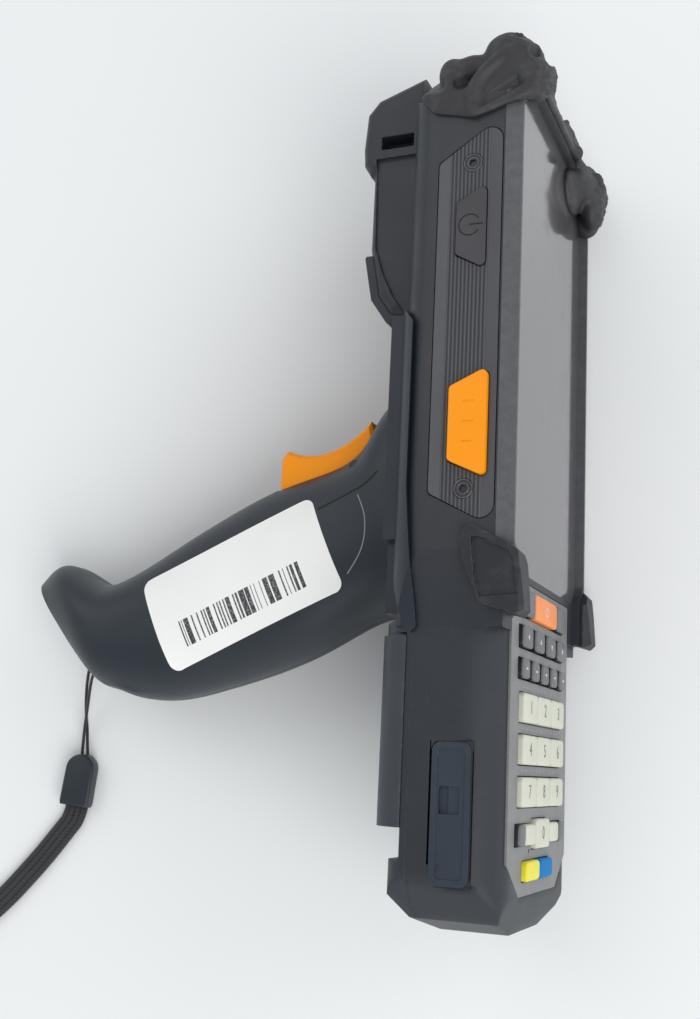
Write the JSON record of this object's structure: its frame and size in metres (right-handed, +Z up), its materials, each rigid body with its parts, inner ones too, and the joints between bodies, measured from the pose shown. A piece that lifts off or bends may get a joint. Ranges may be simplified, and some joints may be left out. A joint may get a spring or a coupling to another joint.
{
  "type": "handheld barcode data terminal",
  "caption": "Rugged handheld data terminal with a touch screen, numeric keypad, side scan buttons, detachable battery and a pistol grip with trigger and wrist lanyard.",
  "frame": {"origin": "centre of the bottom of the bounding box of the terminal as it lies on its right side, on the table, without the lanyard", "axes": "+Z up from the table, +Y along the terminal's length towards the scanning end, +X mostly out of the screen, tilted 12.9 degrees up"},
  "size_m": [0.226, 0.2574, 0.082],
  "materials": {
    "housing": "fine-grained moulded plastic",
    "grip": "satin moulded plastic",
    "boot": "worn rubber",
    "screen": "hard coated glass over a dark panel",
    "window": "dark filter",
    "module": "pressed metal frame",
    "board": "solder mask",
    "panel": "ribbed inlay",
    "screw": "blackened steel",
    "orange": "satin",
    "black_key": "satin key",
    "ivory_key": "satin key",
    "yellow_key": "satin key",
    "blue_key": "satin key",
    "bezel": "grey plate",
    "mat": "moulded mat",
    "steel": "turned steel",
    "strap": "woven"
  },
  "bodies": {
    "terminal": {"case_screws": "screw", "cord_cap": "black_key", "display_glass": "screen", "display_module": "module", "front_housing": "housing", "grip_left_shell": "grip", "grip_plate": "grip", "grip_right_shell": "grip", "keypad_bezel": "bezel", "keypad_mat": "mat", "lanyard_cord": "strap", "left_mid_bumper": "boot", "left_side_panel": "panel", "main_board": "board", "port_connector": "steel", "rear_housing": "housing", "right_mid_bumper": "boot", "right_side_panel": "panel", "scan_engine": "module", "scan_head_cover": "housing", "scan_window": "window", "top_boot": "boot", "trigger_pin": "steel", "trigger_switch": "black_key", "wrist_strap": "strap"},
    "trigger": {"trigger": "orange"},
    "access_door": {"access_door": "housing"},
    "battery_pack": {"battery_pack": "housing"},
    "battery_latch": {"battery_latch": "housing"},
    "left_scan_button": {"left_scan_button": "orange"},
    "right_scan_button": {"right_scan_button": "orange"},
    "power_button": {"power_button": "black_key"},
    "key_arrow_down": {"key_arrow_down": "black_key"},
    "key_arrow_left": {"key_arrow_left": "black_key"},
    "key_arrow_right": {"key_arrow_right": "black_key"},
    "key_arrow_up": {"key_arrow_up": "black_key"},
    "key_back": {"key_back": "black_key"},
    "key_blue": {"key_blue": "blue_key"},
    "key_digit_0": {"key_digit_0": "ivory_key"},
    "key_digit_1": {"key_digit_1": "ivory_key"},
    "key_digit_2": {"key_digit_2": "ivory_key"},
    "key_digit_3": {"key_digit_3": "ivory_key"},
    "key_digit_4": {"key_digit_4": "ivory_key"},
    "key_digit_5": {"key_digit_5": "ivory_key"},
    "key_digit_6": {"key_digit_6": "ivory_key"},
    "key_digit_7": {"key_digit_7": "ivory_key"},
    "key_digit_8": {"key_digit_8": "ivory_key"},
    "key_digit_9": {"key_digit_9": "ivory_key"},
    "key_enter": {"key_enter": "black_key"},
    "key_function_1": {"key_function_1": "black_key"},
    "key_function_2": {"key_function_2": "black_key"},
    "key_function_3": {"key_function_3": "black_key"},
    "key_function_4": {"key_function_4": "black_key"},
    "key_function_5": {"key_function_5": "black_key"},
    "key_menu": {"key_menu": "black_key"},
    "key_point": {"key_point": "ivory_key"},
    "key_scan": {"key_scan": "orange"},
    "key_shift": {"key_shift": "black_key"},
    "key_star": {"key_star": "ivory_key"},
    "key_yellow": {"key_yellow": "yellow_key"}
  },
  "joints": [
    {"name": "trigger_pull", "type": "hinge", "parent": "terminal", "child": "trigger", "pos_m": [0.01762, 0.00525, 0.03205], "axis": [-0.2233, 0, 0.9748], "range_deg": [0, 10], "stiffness_Nm_per_rad": 0.06, "springref_deg": -8.59},
    {"name": "access_door_hinge", "type": "hinge", "parent": "terminal", "child": "access_door", "pos_m": [0.04184, -0.07685, 0.07278], "axis": [0, -1, 0], "range_deg": [0, 100]},
    {"name": "battery_pack_hinge", "type": "hinge", "parent": "terminal", "child": "battery_pack", "pos_m": [0.04052, -0.03665, 0.03729], "axis": [0.2233, 0, -0.9748], "range_deg": [0, 18]},
    {"name": "battery_latch_slide", "type": "slide", "parent": "terminal", "child": "battery_latch", "axis": [0, -1, 0], "range_m": [0, 0.0022], "stiffness_N_per_m": 300, "springref_m": -0.0015},
    {"name": "left_scan_button_press", "type": "slide", "parent": "terminal", "child": "left_scan_button", "axis": [0.2233, 0, -0.9748], "range_m": [0, 0.0008], "stiffness_N_per_m": 1500, "springref_m": -0.0005},
    {"name": "right_scan_button_press", "type": "slide", "parent": "terminal", "child": "right_scan_button", "axis": [-0.2233, 0, 0.9748], "range_m": [0, 0.0008], "stiffness_N_per_m": 1500, "springref_m": -0.0005},
    {"name": "power_button_press", "type": "slide", "parent": "terminal", "child": "power_button", "axis": [0.2233, 0, -0.9748], "range_m": [0, 0.0004], "stiffness_N_per_m": 1500, "springref_m": -0.0005},
    {"name": "key_arrow_down_press", "type": "slide", "parent": "terminal", "child": "key_arrow_down", "axis": [-0.9748, 0, -0.2233], "range_m": [0, 0.0007], "stiffness_N_per_m": 1000, "springref_m": -0.0005},
    {"name": "key_arrow_left_press", "type": "slide", "parent": "terminal", "child": "key_arrow_left", "axis": [-0.9748, 0, -0.2233], "range_m": [0, 0.0007], "stiffness_N_per_m": 1000, "springref_m": -0.0005},
    {"name": "key_arrow_right_press", "type": "slide", "parent": "terminal", "child": "key_arrow_right", "axis": [-0.9748, 0, -0.2233], "range_m": [0, 0.0007], "stiffness_N_per_m": 1000, "springref_m": -0.0005},
    {"name": "key_arrow_up_press", "type": "slide", "parent": "terminal", "child": "key_arrow_up", "axis": [-0.9748, 0, -0.2233], "range_m": [0, 0.0007], "stiffness_N_per_m": 1000, "springref_m": -0.0005},
    {"name": "key_back_press", "type": "slide", "parent": "terminal", "child": "key_back", "axis": [-0.9748, 0, -0.2233], "range_m": [0, 0.0007], "stiffness_N_per_m": 1000, "springref_m": -0.0005},
    {"name": "key_blue_press", "type": "slide", "parent": "terminal", "child": "key_blue", "axis": [-0.9748, 0, -0.2233], "range_m": [0, 0.0007], "stiffness_N_per_m": 1000, "springref_m": -0.0005},
    {"name": "key_digit_0_press", "type": "slide", "parent": "terminal", "child": "key_digit_0", "axis": [-0.9748, 0, -0.2233], "range_m": [0, 0.0007], "stiffness_N_per_m": 1000, "springref_m": -0.0005},
    {"name": "key_digit_1_press", "type": "slide", "parent": "terminal", "child": "key_digit_1", "axis": [-0.9748, 0, -0.2233], "range_m": [0, 0.0007], "stiffness_N_per_m": 1000, "springref_m": -0.0005},
    {"name": "key_digit_2_press", "type": "slide", "parent": "terminal", "child": "key_digit_2", "axis": [-0.9748, 0, -0.2233], "range_m": [0, 0.0007], "stiffness_N_per_m": 1000, "springref_m": -0.0005},
    {"name": "key_digit_3_press", "type": "slide", "parent": "terminal", "child": "key_digit_3", "axis": [-0.9748, 0, -0.2233], "range_m": [0, 0.0007], "stiffness_N_per_m": 1000, "springref_m": -0.0005},
    {"name": "key_digit_4_press", "type": "slide", "parent": "terminal", "child": "key_digit_4", "axis": [-0.9748, 0, -0.2233], "range_m": [0, 0.0007], "stiffness_N_per_m": 1000, "springref_m": -0.0005},
    {"name": "key_digit_5_press", "type": "slide", "parent": "terminal", "child": "key_digit_5", "axis": [-0.9748, 0, -0.2233], "range_m": [0, 0.0007], "stiffness_N_per_m": 1000, "springref_m": -0.0005},
    {"name": "key_digit_6_press", "type": "slide", "parent": "terminal", "child": "key_digit_6", "axis": [-0.9748, 0, -0.2233], "range_m": [0, 0.0007], "stiffness_N_per_m": 1000, "springref_m": -0.0005},
    {"name": "key_digit_7_press", "type": "slide", "parent": "terminal", "child": "key_digit_7", "axis": [-0.9748, 0, -0.2233], "range_m": [0, 0.0007], "stiffness_N_per_m": 1000, "springref_m": -0.0005},
    {"name": "key_digit_8_press", "type": "slide", "parent": "terminal", "child": "key_digit_8", "axis": [-0.9748, 0, -0.2233], "range_m": [0, 0.0007], "stiffness_N_per_m": 1000, "springref_m": -0.0005},
    {"name": "key_digit_9_press", "type": "slide", "parent": "terminal", "child": "key_digit_9", "axis": [-0.9748, 0, -0.2233], "range_m": [0, 0.0007], "stiffness_N_per_m": 1000, "springref_m": -0.0005},
    {"name": "key_enter_press", "type": "slide", "parent": "terminal", "child": "key_enter", "axis": [-0.9748, 0, -0.2233], "range_m": [0, 0.0007], "stiffness_N_per_m": 1000, "springref_m": -0.0005},
    {"name": "key_function_1_press", "type": "slide", "parent": "terminal", "child": "key_function_1", "axis": [-0.9748, 0, -0.2233], "range_m": [0, 0.0007], "stiffness_N_per_m": 1000, "springref_m": -0.0005},
    {"name": "key_function_2_press", "type": "slide", "parent": "terminal", "child": "key_function_2", "axis": [-0.9748, 0, -0.2233], "range_m": [0, 0.0007], "stiffness_N_per_m": 1000, "springref_m": -0.0005},
    {"name": "key_function_3_press", "type": "slide", "parent": "terminal", "child": "key_function_3", "axis": [-0.9748, 0, -0.2233], "range_m": [0, 0.0007], "stiffness_N_per_m": 1000, "springref_m": -0.0005},
    {"name": "key_function_4_press", "type": "slide", "parent": "terminal", "child": "key_function_4", "axis": [-0.9748, 0, -0.2233], "range_m": [0, 0.0007], "stiffness_N_per_m": 1000, "springref_m": -0.0005},
    {"name": "key_function_5_press", "type": "slide", "parent": "terminal", "child": "key_function_5", "axis": [-0.9748, 0, -0.2233], "range_m": [0, 0.0007], "stiffness_N_per_m": 1000, "springref_m": -0.0005},
    {"name": "key_menu_press", "type": "slide", "parent": "terminal", "child": "key_menu", "axis": [-0.9748, 0, -0.2233], "range_m": [0, 0.0007], "stiffness_N_per_m": 1000, "springref_m": -0.0005},
    {"name": "key_point_press", "type": "slide", "parent": "terminal", "child": "key_point", "axis": [-0.9748, 0, -0.2233], "range_m": [0, 0.0007], "stiffness_N_per_m": 1000, "springref_m": -0.0005},
    {"name": "key_scan_press", "type": "slide", "parent": "terminal", "child": "key_scan", "axis": [-0.9748, 0, -0.2233], "range_m": [0, 0.0007], "stiffness_N_per_m": 1000, "springref_m": -0.0005},
    {"name": "key_shift_press", "type": "slide", "parent": "terminal", "child": "key_shift", "axis": [-0.9748, 0, -0.2233], "range_m": [0, 0.0007], "stiffness_N_per_m": 1000, "springref_m": -0.0005},
    {"name": "key_star_press", "type": "slide", "parent": "terminal", "child": "key_star", "axis": [-0.9748, 0, -0.2233], "range_m": [0, 0.0007], "stiffness_N_per_m": 1000, "springref_m": -0.0005},
    {"name": "key_yellow_press", "type": "slide", "parent": "terminal", "child": "key_yellow", "axis": [-0.9748, 0, -0.2233], "range_m": [0, 0.0007], "stiffness_N_per_m": 1000, "springref_m": -0.0005}
  ]
}
